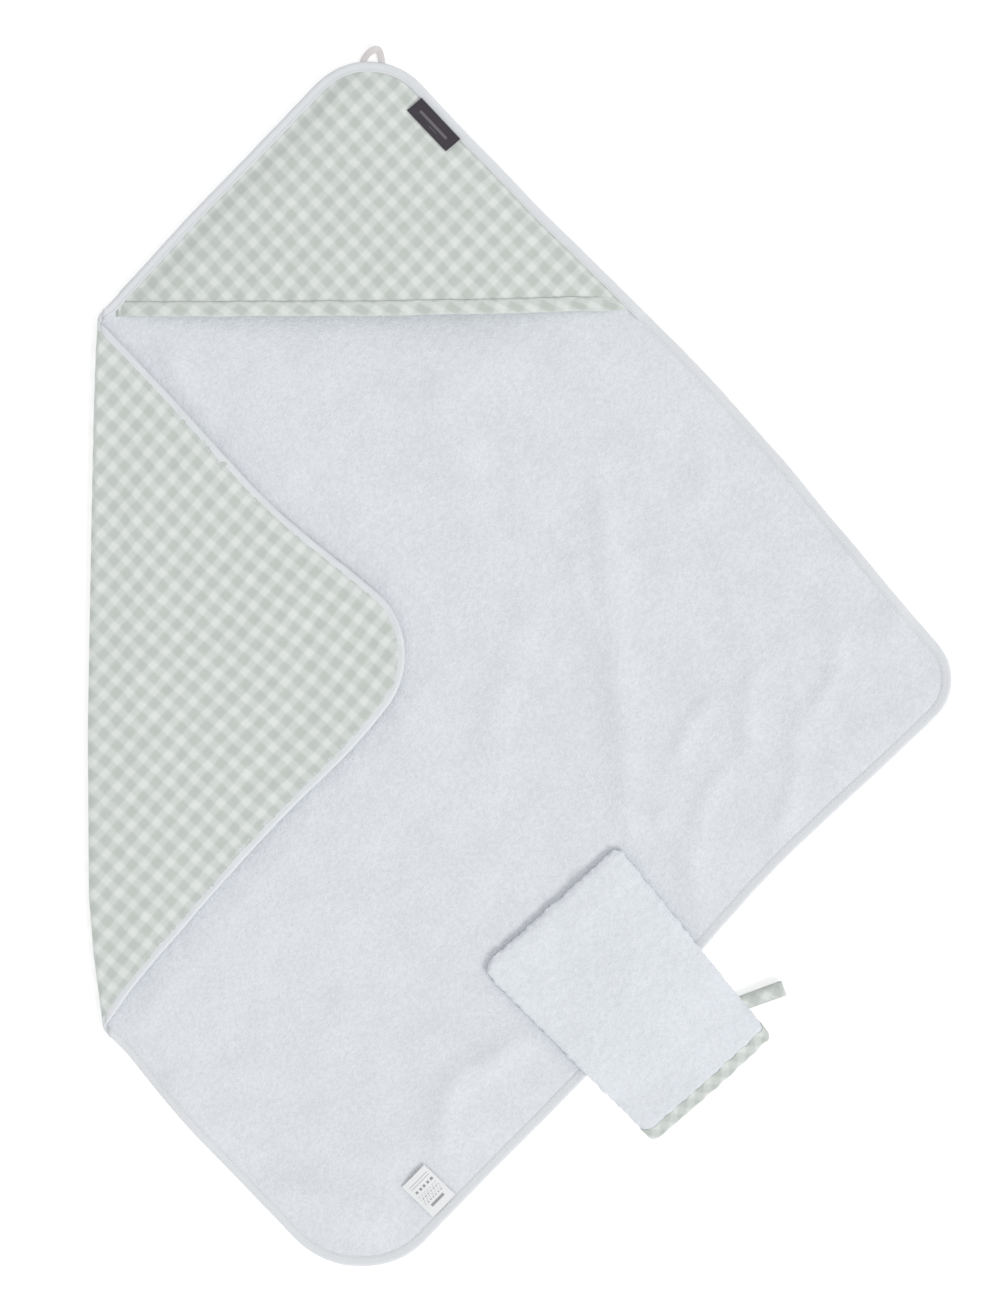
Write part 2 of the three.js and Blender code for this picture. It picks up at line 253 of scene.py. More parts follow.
def bowed(p, bows=MAIN_BOWS):
    """Points of the flat cloth, moved where one of its edges bows out or in as it lies."""
    moved = np.array(p, float)
    for start, end, middle, amount, reach in bows:
        along, length = course(start, end)
        out = np.array([along[1], -along[0]])
        arm = p - start
        t = arm @ along / length
        inside = np.maximum(-(arm @ out), 0)
        weight = np.exp(-(((t - middle) / reach) ** 2)) * np.exp(-((inside / 0.15) ** 2))
        moved += (amount * weight)[:, None] * out
    return moved


# Along the fold, from bottom to top: how far right its ends lie, and how far left it bulges.
SHIFT_AT = [-0.32, -0.307, -0.272, -0.238, -0.19, 0.22, 0.27, 0.307]
SHIFT = [0.010, 0.0085, 0.0045, 0.0015, 0, 0, 0.0015, 0.0035]
BULGE_AT = [-0.307, -0.272, -0.238, -0.19, -0.05, 0.12, 0.22, 0.307]
BULGE = [0.003, 0.0035, 0.005, 0.0075, 0.0085, 0.0055, 0.0033, 0.003]


def fold_shift(x, y):
    """How far to the right the fold's two ends lie, fading away from the fold."""
    return np.interp(y, SHIFT_AT, SHIFT) * np.exp(-(((x - FOLD_X) / 0.05) ** 2))


# Soft creases in the open terry: (from, to, height, width).
CREASE_DEPTH = 1.45
CREASES = [
    ((0.206, 0.150), (0.218, -0.135), 0.0026, 0.013),
    ((0.186, 0.100), (0.192, 0.020), 0.0012, 0.009),
    ((0.398, 0.034), (0.386, -0.034), 0.0017, 0.009),
    ((0.340, 0.000), (0.323, -0.068), 0.0017, 0.010),
    ((0.375, -0.046), (0.352, -0.140), 0.0018, 0.010),
    ((0.290, -0.020), (0.277, -0.076), 0.0015, 0.009),
    ((0.308, -0.085), (0.290, -0.165), 0.0016, 0.010),
    ((0.394, 0.100), (0.456, 0.040), 0.0018, 0.009),
    ((0.246, -0.120), (0.292, -0.190), 0.0018, 0.010),
    ((0.100, -0.345), (0.175, -0.292), 0.0022, 0.013),
    ((0.062, -0.400), (0.092, -0.335), 0.0020, 0.012),
    ((0.010, 0.070), (0.060, -0.120), 0.0014, 0.020),
    ((0.135, 0.060), (0.120, -0.080), 0.0012, 0.016),
    ((-0.040, -0.200), (0.070, -0.250), 0.0014, 0.018),
    ((-0.172, 0.282), (-0.128, 0.206), 0.0030, 0.012),
    ((-0.168, -0.345), (-0.120, -0.395), 0.0016, 0.013),
    ((-0.070, -0.440), (0.020, -0.470), 0.0022, 0.014),
    ((0.065, 0.240), (0.090, 0.110), 0.0013, 0.018),
    ((0.255, 0.230), (0.290, 0.150), 0.0014, 0.014),
]


def creases(x, y):
    height = np.zeros_like(x)
    for start, end, rise, width in CREASES:
        along, length = course(np.array(start), np.array(end))
        px, py = x - start[0], y - start[1]
        t = (px * along[0] + py * along[1]) / length
        bend = 0.008 * np.sin(3.1 * t + 40 * start[0])
        off = px * -along[1] + py * along[0] + bend
        ends = np.exp(-np.maximum(np.abs(t - 0.5) - 0.35, 0) ** 2 / 0.045)
        height += CREASE_DEPTH * rise * ends * np.exp(-((off / width) ** 2))
    return height


def mitt_frame(x, y):
    """A floor point in the mitt's own frame: along it from its closed end, and across."""
    dx, dy = x - MITT_PLACE[0], y - MITT_PLACE[1]
    c, s = math.cos(MITT_TURN), math.sin(MITT_TURN)
    return dx * c + dy * s, -dx * s + dy * c


def lift(x, y):
    """How far the main cloth stands off the floor. It is 0 at the fold, and low under other pieces."""
    u, v = mitt_frame(x, y)
    off_mitt = np.maximum(np.abs(u - MITT_LENGTH / 2) - MITT_LENGTH / 2, np.abs(v) - MITT_WIDTH / 2)
    open_x = smooth(0.0, 0.035, x - flap_edge_x(y))
    below_hood = smooth(0.0, 0.05, HOOD_FRONT_Y - y)
    off_label = np.hypot(x - CARE_LABEL_PLACE[0], y - CARE_LABEL_PLACE[1])
    free = open_x * below_hood * smooth(-0.008, 0.022, off_mitt) * smooth(0.020, 0.065, off_label)
    roll = 0.0012 * (1 + broad(x, y, 0.085)) + 0.0006 * (1 + fine(x + y, x - y, 0.034))
    return free * (roll + creases(x, y)) + (1 - free) * 0.0003 * smooth(0, 0.03, x - FOLD_X)


def flap_edge_x(y):
    """The folded flap's edge at a height y: everything left of it lies under the flap."""
    upper = np.interp(y, [FLAP_TIP[1], flap_top[1]], [FLAP_TIP[0], FOLD_X])
    lower = np.interp(y, [flap_bottom[1], FLAP_TIP[1]], [FOLD_X, FLAP_TIP[0]])
    return np.where(y > FLAP_TIP[1], upper, lower)


def flap_lift(x, y):
    """How far the folded flap stands off the cloth under it, by its unfolded place."""
    free = smooth(0.0, 0.04, FOLD_X - x)
    billow = 0.0011 * (1 + broad(x + 1.3, y, 0.07)) + 0.0007 * (1 + fine(x - y, x + y, 0.026))
    return free * (billow + crinkle(x, y))


def crinkle(x, y):
    """The muslin's fine crumple, mostly across the cloth's width."""
    return 0.00046 * fine(x + y, x - y, 0.0085) + 0.00042 * cross(x * 0.6, y * 1.5, 0.0125)


def pile(x, y):
    """Height of the terry's loops, from about -1 to 1, in clumps of several sizes."""
    a, b = x * 0.8 + y * 0.6, y * 0.8 - x * 0.6
    return 0.50 * loops(x, y, 0.0031) + 0.30 * cross(a, b, 0.0056) + 0.25 * fine(b, a, 0.014)


# ---- cut pieces

# The gingham's two directions follow the towel's edges, so they lean as the laid cloth does.
TO_CUT = np.linalg.inv(np.stack([(RIGHT - TOP) / SIDE, (LEFT - TOP) / SIDE], axis=1))


def cut_place(x, y):
    """The place on the flat cut square, in metres from its top corner, of an unfolded point."""
    return (np.stack([x, y], axis=-1) - TOP) @ TO_CUT.T


def flap_cut_place(x, y):
    """The same for the flap, which shears a little so that its tip is the square's left corner."""
    past = FOLD_X - x
    reach = FOLD_X - open_tip[0]
    left = past * (FOLD_X - LEFT[0] - BAND) / reach
    return cut_place(FOLD_X - BAND - left, y - past * (open_tip[1] - LEFT[1]) / reach)


class Grid:
    """Square cells over an outline, whose border is pulled onto it, except along one kept line."""

    def __init__(self, outline, inset, step, x_range, y_range, axis=0, kept=None):
        lines = (spaced(*reach, step) for reach in (x_range, y_range))
        grid = np.stack(np.meshgrid(*lines, indexing="ij"), axis=-1)
        middle = (grid[:-1, :-1] + grid[1:, 1:]) / 2
        far = outline.distance(middle.reshape(-1, 2))[0]
        index = np.arange(grid.shape[0] * grid.shape[1]).reshape(grid.shape[:2])
        i, j = np.nonzero((far < -inset).reshape(middle.shape[:2]))
        quads = np.stack([index[i, j], index[i + 1, j], index[i + 1, j + 1], index[i, j + 1]], axis=1)
        used, flat = np.unique(quads, return_inverse=True)
        self.quads = flat.reshape(quads.shape)
        self.points = grid.reshape(-1, 2)[used]
        rim = np.unique(border_edges(self.quads))
        before = self.points[rim].copy()
        for _ in range(3):
            far, out = outline.distance(self.points[rim])
            near = np.abs(far + inset) < 1.5 * step
            self.points[rim] -= ((far + inset) * near)[:, None] * out
        if kept is not None:
            on_line = np.abs(before[:, axis] - kept) < 1e-9
            self.points[rim[on_line], axis] = kept
        self.inside = -outline.distance(self.points)[0]


def spaced(low, high, step):
    return np.linspace(low, high, int(round((high - low) / step)) + 1)


def cells(rows, across):
    """The four-cornered faces of a grid of points numbered along its rows."""
    index = np.arange(rows * across).reshape(rows, across)
    corners = [index[:-1, :-1], index[:-1, 1:], index[1:, 1:], index[1:, :-1]]
    return np.stack(corners, axis=-1).reshape(-1, 4)


def border_edges(quads):
    """The edges that only one face uses, each in its face's direction."""
    edges = np.concatenate([quads[:, [k, (k + 1) % 4]] for k in range(4)])
    key = np.sort(edges, axis=1)
    _, first, count = np.unique(key, axis=0, return_index=True, return_counts=True)
    return edges[first[count == 1]]


def make_mesh(name, points, faces, cut, material):
    mesh = bpy.data.meshes.new(name)
    mesh.from_pydata(np.asarray(points, float).tolist(), [], [list(map(int, f)) for f in faces])
    if cut is not None:
        attribute = mesh.attributes.new("cut", "FLOAT_VECTOR", "POINT")
        attribute.data.foreach_set("vector", np.asarray(cut, np.float32).ravel())
    mesh.polygons.foreach_set("use_smooth", [True] * len(mesh.polygons))
    mesh.update()
    mesh.materials.append(material)
    return placed(name, mesh)


def closed_sheet(name, quads, top, bottom, cut, material):
    """Two surfaces of the same cells, joined round the border."""
    count, border = len(top), border_edges(quads)
    walls = np.stack([border[:, 0], border[:, 0] + count, border[:, 1] + count, border[:, 1]], axis=1)
    faces = np.concatenate([quads, quads[:, ::-1] + count, walls])
    place = columns(cut, top[:, 2])
    piece = make_mesh(name, np.concatenate([top, bottom]), faces, np.concatenate([place, place]), material)
    piece.data.set_sharp_from_angle(angle=math.radians(60))
    return piece


def sweep(name, centres, outs, profiles, cut, material, ups=(0, 0, 1), lay=None):
    """A closed section of (out, up) points carried along a path, then laid in place, and capped."""
    count, size = len(centres), profiles.shape[-2]
    profiles = np.broadcast_to(profiles, (count, size, 2))
    outs, ups = (np.broadcast_to(np.asarray(d, float), (count, 3)) for d in (outs, ups))
    points = (
        centres[:, None, :]
        + profiles[..., :1] * outs[:, None, :]
        + profiles[..., 1:] * ups[:, None, :]
    ).reshape(-1, 3)
    if lay is not None:
        points = lay(*points.T)
    start = np.arange(count - 1)[:, None] * size
    k = np.arange(size)[None, :]
    after = (k + 1) % size
    quads = np.stack([start + k, start + after, start + after + size, start + k + size], axis=-1)
    faces = quads.reshape(-1, 4).tolist()
    faces.append(list(range(size))[::-1])
    faces.append(list(range((count - 1) * size, count * size)))
    return make_mesh(name, points, faces, cut, material)


def flat_path(points, outs):
    """A path on the flat cloth as centres and outward directions in space."""
    centres = columns(points, 0)
    outs = outs / np.linalg.norm(outs, axis=1)[:, None]
    return centres, columns(outs, 0)


def wrap_section(width, low, high, wall, dip=0.0004):
    """A strip folded round an edge, as (out, up) points: outside first, then inside."""
    radius = (high - low) / 2
    middle = (high + low) / 2
    turn = np.linspace(-math.pi / 2, math.pi / 2, 9)
    arc = columns(np.cos(turn) - 1, np.sin(turn))
    nose, inner = radius * arc + [0, middle], (radius - wall) * arc + [-wall, middle]
    leaf = np.array([[0.05, 0.0], [0.40, -0.2], [0.70, -1.0], [0.86, -0.5], [1.0, -0.9]])
    reach = radius + (width - radius) * leaf[:, 0]
    upper = columns(-reach, high + dip * leaf[:, 1])
    lower = columns(-reach[::-1], low)
    outside = np.concatenate([lower, nose, upper])
    inside = np.concatenate([upper[::-1] - [0, wall], inner[::-1], lower[::-1] + [0, wall * 0.6]])
    return np.concatenate([outside, inside])


def section_cut(section, s, start=0.0):
    """Cut coordinates for a swept strip: its length, and how far round its section from the fold."""
    step = np.r_[0, np.linalg.norm(np.diff(section, axis=0), axis=1)]
    half = len(section) // 2
    around = np.cumsum(step)
    around[half:] = around[half] - (around[half:] - around[half])
    around = around - around[half // 2] - start
    along = np.repeat(s, len(section))
    return columns(along, np.tile(around, len(s)), 0)


def on_bias(place):
    """Cut coordinates turned by an eighth of a turn, as in a strip cut on the bias."""
    turned = np.array(place)
    turned[:, 0] = (place[:, 0] + place[:, 1]) / math.sqrt(2)
    turned[:, 1] = (place[:, 0] - place[:, 1]) / math.sqrt(2)
    return turned


def stitches(name, points, spacing, length, radius):
    """A row of sewing stitches along a polyline: short rounded threads that dip at both ends."""
    p, _, _ = even(points, spacing)
    ahead = np.gradient(p, axis=0)
    ahead /= np.linalg.norm(ahead, axis=1)[:, None]
    up = np.array([0, 0, 1.0])
    side = np.cross(up, ahead)
    side /= np.linalg.norm(side, axis=1)[:, None]
    sides = 6
    rings = [(-0.5, 0.35, -1.2), (-0.3, 0.9, 0.0), (0.0, 1.0, 0.35), (0.3, 0.9, 0.0), (0.5, 0.35, -1.2)]
    vertices, faces = [], []
    for place, direction, across in zip(p, ahead, side):
        base = len(vertices)
        normal = np.cross(direction, across)
        for t, thick, drop in rings:
            centre = place + direction * t * length + normal * drop * radius
            for k in range(sides):
                a = 2 * math.pi * k / sides
                vertices.append(centre + thick * radius * (math.cos(a) * across + math.sin(a) * normal))
        for r in range(len(rings) - 1):
            for k in range(sides):
                a, b = base + r * sides + k, base + r * sides + (k + 1) % sides
                faces.append((a, a + sides, b + sides, b))
        faces.append(tuple(base + k for k in range(sides)))
        last = base + (len(rings) - 1) * sides
        faces.append(tuple(last + k for k in reversed(range(sides))))
    return make_mesh(name, vertices, faces, None, thread)


# ---- materials


class Nodes:
    """A material and a short way to add and join its nodes."""

    def __init__(self, name, colour, roughness, sheen=0.0, specular=0.3):
        self.material = bpy.data.materials.new(name)
        self.material.use_nodes = True
        self.tree = self.material.node_tree
        self.sockets = self.tree.nodes["Principled BSDF"].inputs
        self.sockets["Base Color"].default_value = (*colour, 1)
        self.sockets["Roughness"].default_value = roughness
        self.sockets["Specular IOR Level"].default_value = specular
        self.sockets["Sheen Weight"].default_value = sheen
        self.sockets["Sheen Roughness"].default_value = 0.6

    def add(self, kind, *inputs, **settings):
        node = self.tree.nodes.new(kind)
        for key, value in settings.items():
            setattr(node, key, value)
        for socket, value in zip(node.inputs, inputs):
            self.join(value, socket)
        return node

    def join(self, value, socket):
        if isinstance(value, bpy.types.NodeSocket):
            self.tree.links.new(value, socket)
        else:
            socket.default_value = value

    def math(self, operation, *values):
        return self.add("ShaderNodeMath", *values, operation=operation).outputs[0]

    def cut(self):
        """The cloth's own coordinates, in metres along its two thread directions."""
        place = self.add("ShaderNodeAttribute", attribute_name="cut").outputs["Vector"]
        split = self.add("ShaderNodeSeparateXYZ", place)
        return place, split.outputs[0], split.outputs[1]

    def wave(self, value, period):
        """A sine from -1 to 1 along a coordinate."""
        return self.math("SINE", self.math("MULTIPLY", value, 2 * math.pi / period))

    def named(self, kind, inputs, **settings):
        """The same as add, with the sockets found by their names."""
        node = self.add(kind, **settings)
        for name, value in inputs.items():
            self.join(value, node.inputs[name])
        return node.outputs

    def noise(self, place, scale, detail=2.0, rough=0.5, output="Fac"):
        inputs = {"Vector": place, "Scale": scale, "Detail": detail, "Roughness": rough}
        return self.named("ShaderNodeTexNoise", inputs)[output]

    def ramp(self, value, low, high, dark, light):
        return self.add("ShaderNodeMapRange", value, low, high, dark, light).outputs[0]

    def blend(self, factor, a, b):
        a, b = (c if isinstance(c, bpy.types.NodeSocket) else (*c, 1) for c in (a, b))
        inputs = {"Factor": factor, "A": a, "B": b}
        return self.named("ShaderNodeMix", inputs, data_type="RGBA")["Result"]

    def bump(self, height, distance, strength):
        inputs = {"Strength": strength, "Distance": distance, "Height": height}
        self.join(self.named("ShaderNodeBump", inputs)[0], self.sockets["Normal"])

    def paint(self, colour):
        self.join(colour, self.sockets["Base Color"])


def terry_material(name, light, shade):
    """Looped cotton: clumps of loops a millimetre or two across, with painted shade in the gaps between them.
    """
    m = Nodes(name, light, 0.95, sheen=0.25, specular=0.12)
    place, _, _ = m.cut()
    stray = m.noise(place, 420, output="Color")
    strayed = m.add("ShaderNodeVectorMath", stray, (0.0022,) * 3, place, operation="MULTIPLY_ADD")
    spots = {"Vector": strayed.outputs[0], "Scale": 640}
    loop = m.named("ShaderNodeTexVoronoi", spots, feature="SMOOTH_F1")["Distance"]
    loop = m.math("SUBTRACT", 1.0, loop)
    clumps = m.noise(place, 250, 3.0, 0.62)
    wide = m.noise(place, 30, 3.0, 0.55)
    height = m.math("MULTIPLY_ADD", loop, 0.55, clumps)
    shown = m.math("MULTIPLY_ADD", wide, 0.5, height)
    # Painted shade: the colour goes from the shade colour where the loops are low to the light colour on
    # their tops, and the broad noise adds a random mottle of tone.
    m.paint(m.blend(m.ramp(shown, 0.85, 1.40, 0.0, 1.0), shade, light))
    m.bump(height, 0.0014, 0.42)
    return m.material


def gingham_material(name, white, middle, green):
    """Fine muslin with a woven check: white and green stripes crossing, and threads showing."""
    m = Nodes(name, white, 0.9, sheen=0.15, specular=0.2)
    place, x, y = m.cut()
    x = m.math("MULTIPLY_ADD", m.noise(place, 62, 2.0), 0.0034, x)
    y = m.math("MULTIPLY_ADD", m.noise(place, 71, 2.0), 0.0034, y)
    stripe = lambda v: m.ramp(m.wave(v, CHECK), -0.58, 0.42, 0.0, 2.0)
    weave = m.math("MULTIPLY", m.wave(x, 0.00062), m.wave(y, 0.00062))
    on_top = m.add("ShaderNodeMix", m.ramp(weave, -0.12, 0.12, 0.0, 1.0))
    for v, socket in ((x, on_top.inputs[2]), (y, on_top.inputs[3])):
        m.join(stripe(v), socket)
    slub = m.math("ADD", m.noise(place, 900, 1.0), m.noise(place, 140, 1.0))
    shown = m.math("MULTIPLY_ADD", m.math("SUBTRACT", slub, 1.0), 0.35, on_top.outputs[0])
    first = m.blend(m.ramp(shown, 0.0, 1.0, 0.0, 1.0), white, middle)
    m.paint(m.blend(m.ramp(shown, 1.0, 2.0, 0.0, 1.0), first, green))
    m.bump(m.math("MULTIPLY_ADD", m.noise(place, 210, 2.0), 4.0, weave), 0.00012, 0.6)
    return m.material


def tape_material(name, colour, period):
    """A closely woven tape, its ribs across it."""
    m = Nodes(name, colour, 0.8, sheen=0.1)
    _, x, y = m.cut()
    rib = m.math("MULTIPLY_ADD", m.wave(y, period), 0.4, m.wave(x, period))
    m.bump(rib, 0.00015, 0.6)
    return m.material


def label_material(name, ground, ink, rough, specular, period):
    """A woven or printed label. The cut coordinates' third number says how inked each point is."""
    m = Nodes(name, ground, rough, specular=specular)
    place, x, y = m.cut()
    printed = m.add("ShaderNodeSeparateXYZ", place).outputs[2]
    m.paint(m.blend(m.ramp(printed, 0.45, 0.55, 0.0, 1.0), ground, ink))
    m.bump(m.math("MULTIPLY", m.wave(x, period), m.wave(y, period)), 0.00008, 0.5)
    return m.material


terry = terry_material("terry", (0.815, 0.843, 0.88), (0.71, 0.737, 0.774))
mitt_terry = terry_material("mitt_terry", (0.835, 0.868, 0.913), (0.742, 0.774, 0.816))
gingham = gingham_material("gingham", (0.83, 0.865, 0.845), (0.685, 0.732, 0.70), (0.60, 0.65, 0.61))
white_tape = tape_material("white_tape", (0.83, 0.85, 0.875), 0.0007)
loop_tape = tape_material("loop_tape", (0.77, 0.74, 0.735), 0.0009)
thread = Nodes("thread", (0.78, 0.79, 0.81), 0.7, sheen=0.1).material
label_cloth = label_material("label_cloth", (0.052, 0.045, 0.057), (0.16, 0.15, 0.16), 0.6, 0.3, 0.0006)
satin = label_material("satin", (0.86, 0.87, 0.88), (0.33, 0.34, 0.35), 0.35, 0.5, 0.0004)

# ---- towel

EDGE_INSET, BAND_INSET = 0.0022, 0.0012
MAIN_X, FLAP_X = FOLD_X + CUT_GAP, FOLD_X - CUT_GAP


def lying(x, y, height):
    """Points of the main cloth: bowed in its plane and lifted off the floor."""
    p = bowed(columns(x, y))
    p[:, 0] += fold_shift(x, y)
    return columns(p, height + lift(x, y))


def folded(x, y, height):
    """Points of the flap: turned over about the fold."""
    p = columns(x, y)
    p = mix(p, bowed(p, FLAP_BOWS), smooth(0.0, 0.05, FOLD_X - x)[:, None])
    laid_x = 2 * FOLD_X - p[:, 0] + fold_shift(x, y)
    return columns(laid_x, p[:, 1], 2 * HINGE_Z - height + flap_lift(x, y))


def round_fold(turn, y, height):
    """Points of the band round the fold: turn 0 on the main cloth, 1 on the flap."""
    angle = np.pi * turn
    reach = HINGE_Z - height
    bulge = np.interp(y, BULGE_AT, BULGE) * (0.35 + 0.65 * reach / HINGE_Z) * np.sin(angle)
    x = FOLD_X + fold_shift(FOLD_X, y) - bulge
    x += CUT_GAP * (1 - np.sin(angle))
    return columns(x, y, HINGE_Z - reach * np.cos(angle))


def terry_top(inside, x, y):
    """Height of the terry's loops: pressed down under the binding, fullest a little way in."""
    risen = 0.4 * smooth(0.0066, 0.0106, inside) + 0.6 * smooth(0.0106, 0.03, inside)
    return mix(TERRY_AT_EDGE, TERRY[1], risen) + 0.00045 * smooth(0.009, 0.016, inside) * pile(x, y)


def main_piece(name, step, width, y_range, low, high, material):
    """The part of one cloth that lies flat. Its upper height is a number, or None for loops."""
    grid = Grid(main_outline, EDGE_INSET, step, (MAIN_X, MAIN_X + width), y_range, kept=MAIN_X)
    x, y = grid.points.T
    if high is None:
        high = terry_top(grid.inside, x, y)
    return closed_sheet(name, grid.quads, lying(x, y, high), lying(x, y, low), cut_place(x, y), material)


terry_main = main_piece("terry_main", 0.0030, 0.741, (-0.5400, 0.5490), TERRY[0], None, terry)
muslin_main = main_piece("muslin_main", 0.0080, 0.744, (-0.5440, 0.5520), *MUSLIN, gingham)


def flap_piece(name, step, low, high, material):
    """The folded corner of one cloth. Its height on the terry side is a number, or None for loops."""
    grid = Grid(flap_area, EDGE_INSET, step, (open_tip[0], FLAP_X), (-0.2992, 0.2992), kept=FLAP_X)
    x, y = grid.points.T
    if high is None:
        high = terry_top(grid.inside, x, y) - 0.0004
    top, under = folded(x, y, low), folded(x, y, high)
    return closed_sheet(name, grid.quads, top, under, flap_cut_place(x, y), material)


muslin_flap = flap_piece("muslin_flap_cloth", 0.0034, *MUSLIN, gingham)
terry_flap = flap_piece("terry_flap_cloth", 0.0040, TERRY[0], None, terry)


def fold_band(name, low, high, step, material):
    """The cloth round the fold, from the main cloth's cut to the flap's."""
    turns = np.linspace(0, 1, 13)
    count = int(round((fold_top[1] - fold_bottom[1]) / step))
    rows = []
    for turn in turns:
        top = mix(fold_top[1] - BAND_INSET, flap_top[1] - BAND_INSET, turn)
        bottom = mix(fold_bottom[1] + BAND_INSET, flap_bottom[1] + BAND_INSET, turn)
        rows.append(columns(turn, np.linspace(bottom, top, count + 1)))
    quads = cells(len(turns), count + 1)
    turn, y = np.concatenate(rows).T
    inner, outer = round_fold(turn, y, high), round_fold(turn, y, low)
    return closed_sheet(name, quads, inner, outer, cut_place(FOLD_X - BAND * turn, y), material)


muslin_band = fold_band("muslin_band", *MUSLIN, 0.004, gingham)
terry_band = fold_band("terry_band", TERRY[0], TERRY[1] - 0.0006, 0.005, terry)

# ---- the towel's binding

STATION = 0.004  # how far apart the binding's sections are
TAPE, GINGHAM_TAPE = 0.0005, 0.0004
SEAM_AT, HOOD_SEAM_AT = 0.80, 0.86  # where a seam runs, as a share of its binding's width
EDGE_STITCH = (0.0030, 0.0023, 0.00022)  # spacing, length and radius
FINE_STITCH = (0.0028, 0.0021, 0.0002)
BINDING_TOP, BINDING_TOP_AT_HOOD = 0.0047, 0.0066
SEWN_DOWN = 0.0007  # how far the stitching pulls a binding's inner edge down


def wander(s, seed):
    """How far a binding's edge strays along its length, as a hand-fed strip's does."""
    return 0.00045 * broad(s, seed, 0.05) + 0.0002 * fine(s, seed, 0.011)


def turned_to_fold(outs, s, at_start, at_end):
    """Outward directions that come to lie along the fold, up (1) or down (-1), at a path's ends."""
    for up, away in ((at_start, s), (at_end, s[-1] - s)):
        outs = mix(np.array([[0.0, up]]), outs, smooth(0.0, 0.014, away)[:, None])
    return outs / np.linalg.norm(outs, axis=1)[:, None]


points, outs, s = main_rim.rim(0, 4, STATION)
outs = turned_to_fold(outs, s, -1, 1)
points = points + wander(s, 3.0)[:, None] * outs
in_hood = smooth(HOOD_FRONT_Y - 0.004, HOOD_FRONT_Y + 0.004, points[:, 1])
in_hood = in_hood * smooth(FOLD_X + 0.003, FOLD_X + 0.014, points[:, 0])
thin = wrap_section(BINDING_WIDTH, 0.0, BINDING_TOP, TAPE, SEWN_DOWN)
thick = wrap_section(BINDING_WIDTH, 0.0, BINDING_TOP_AT_HOOD, TAPE, SEWN_DOWN)
sections = mix(thin, thick, in_hood[:, None, None])
centres, outs3 = flat_path(points, outs)
towel_binding = sweep(
    "towel_binding", centres, outs3, sections, section_cut(thin, s), white_tape, lay=lying
)
seam_z = mix(BINDING_TOP, BINDING_TOP_AT_HOOD, in_hood) - 0.0003
seam = lying(*(points - outs * BINDING_WIDTH * SEAM_AT).T, seam_z)
towel_stitches = stitches("towel_stitches", seam, *EDGE_STITCH)

points, outs, s = flap_outline.rim(0, 2, STATION)
outs = turned_to_fold(outs, s, 1, -1)
points = points + wander(s, 7.0)[:, None] * outs
centres, outs3 = flat_path(points, outs)
flap_section = wrap_section(BINDING_WIDTH, 0.0, BINDING_TOP, TAPE) * [1, -1] + [0, BINDING_TOP]
place = section_cut(flap_section, s)
flap_binding = sweep(
    "flap_binding_tape", centres, outs3, flap_section[::-1], place, white_tape, lay=folded
)
seam = folded(*(points - outs * BINDING_WIDTH * SEAM_AT).T, 0.0002)
flap_stitches = stitches("flap_stitches", seam, *EDGE_STITCH)


def band_binding(name, low_end, high_end, side):
    """The binding where it goes round the fold, at the fold's top (side 1) or bottom (side -1)."""
    turn = np.linspace(0, 1, 13)
    y = mix(low_end[1], high_end[1], turn)
    centres = columns(turn, y, 0)
    section = thin if side > 0 else thin[::-1]
    place = section_cut(section, BAND * turn)
    return sweep(name, centres, (0, side, 0), section, place, white_tape, lay=round_fold)


fold_bindings = [
    band_binding("fold_binding_top", fold_top, flap_top, 1),
    band_binding("fold_binding_bottom", fold_bottom, flap_bottom, -1),
]

# ---- hood

HOOD_INSET = 0.012
HOOD_LEFT_X = FOLD_X + 0.0155
SEAM_Y = HOOD_FRONT_Y + HOOD_BINDING_WIDTH


def side_x(corner, y):
    """Where the towel's straight side from the top to a corner is at a height y."""
    return TOP[0] + (corner[0] - TOP[0]) * (TOP[1] - y) / (TOP[1] - corner[1])


def hood_arch(x, y):
    """How far the hood stands up: most in the middle of its free edge, nothing at its sides."""
    left, right = side_x(LEFT, y) + HOOD_INSET * 1.4, side_x(RIGHT, y) - HOOD_INSET * 1.4
    half = np.maximum((right - left) / 2, 1e-4)
    across = np.clip((x - (left + right) / 2) / half, -1, 1)
    grown = np.clip((TOP[1] - y) / (TOP[1] - HOOD_FRONT_Y), 0, 1.1)
    return HOOD_ARCH * grown * (1 - across**2)


def puckers(x, y):
    """Little gathers where the hood is sewn to its binding, and a crinkle all over the muslin."""
    near = np.exp(-(((y - SEAM_Y - 0.002) / 0.008) ** 2))
    row = 0.00055 * near * (fine(x, y * 0.35, 0.0062) + 0.7 * broad(x, y * 0.35, 0.0118))
    in_from_side = (x - side_x(LEFT, y)) * 0.7
    by_side = np.exp(-(((in_from_side - 0.014) / 0.010) ** 2))
    gathers = 0.0009 * by_side * fine(x + y, in_from_side * 0.5, 0.0095)
    return row + gathers + crinkle(x, y) + 0.0011 * broad(x, y, 0.034)


def hooded(x, y, height):
    """Points of the hood: seated on the towel at its sewn sides, arched in the middle."""
    flat = columns(x, y)
    inside = -main_outline.distance(flat)[0]
    seat = mix(0.0038, 0.0062, smooth(0.009, 0.028, inside))
    arch = smooth(0.004, 0.022, inside) * hood_arch(x, y)
    z = seat + arch + smooth(0.008, 0.02, inside) * puckers(x, y) + height
    return columns(bowed(flat), z)


hood_left = np.array([HOOD_LEFT_X, HOOD_FRONT_Y])
hood_right = np.array([side_x(RIGHT, HOOD_FRONT_Y), HOOD_FRONT_Y])
hood_shoulder = at_x(TOP, LEFT, HOOD_LEFT_X)
hood_outline = Outline([hood_left, hood_right, TOP, hood_shoulder], [0, 0, TOP_RADIUS, 0])


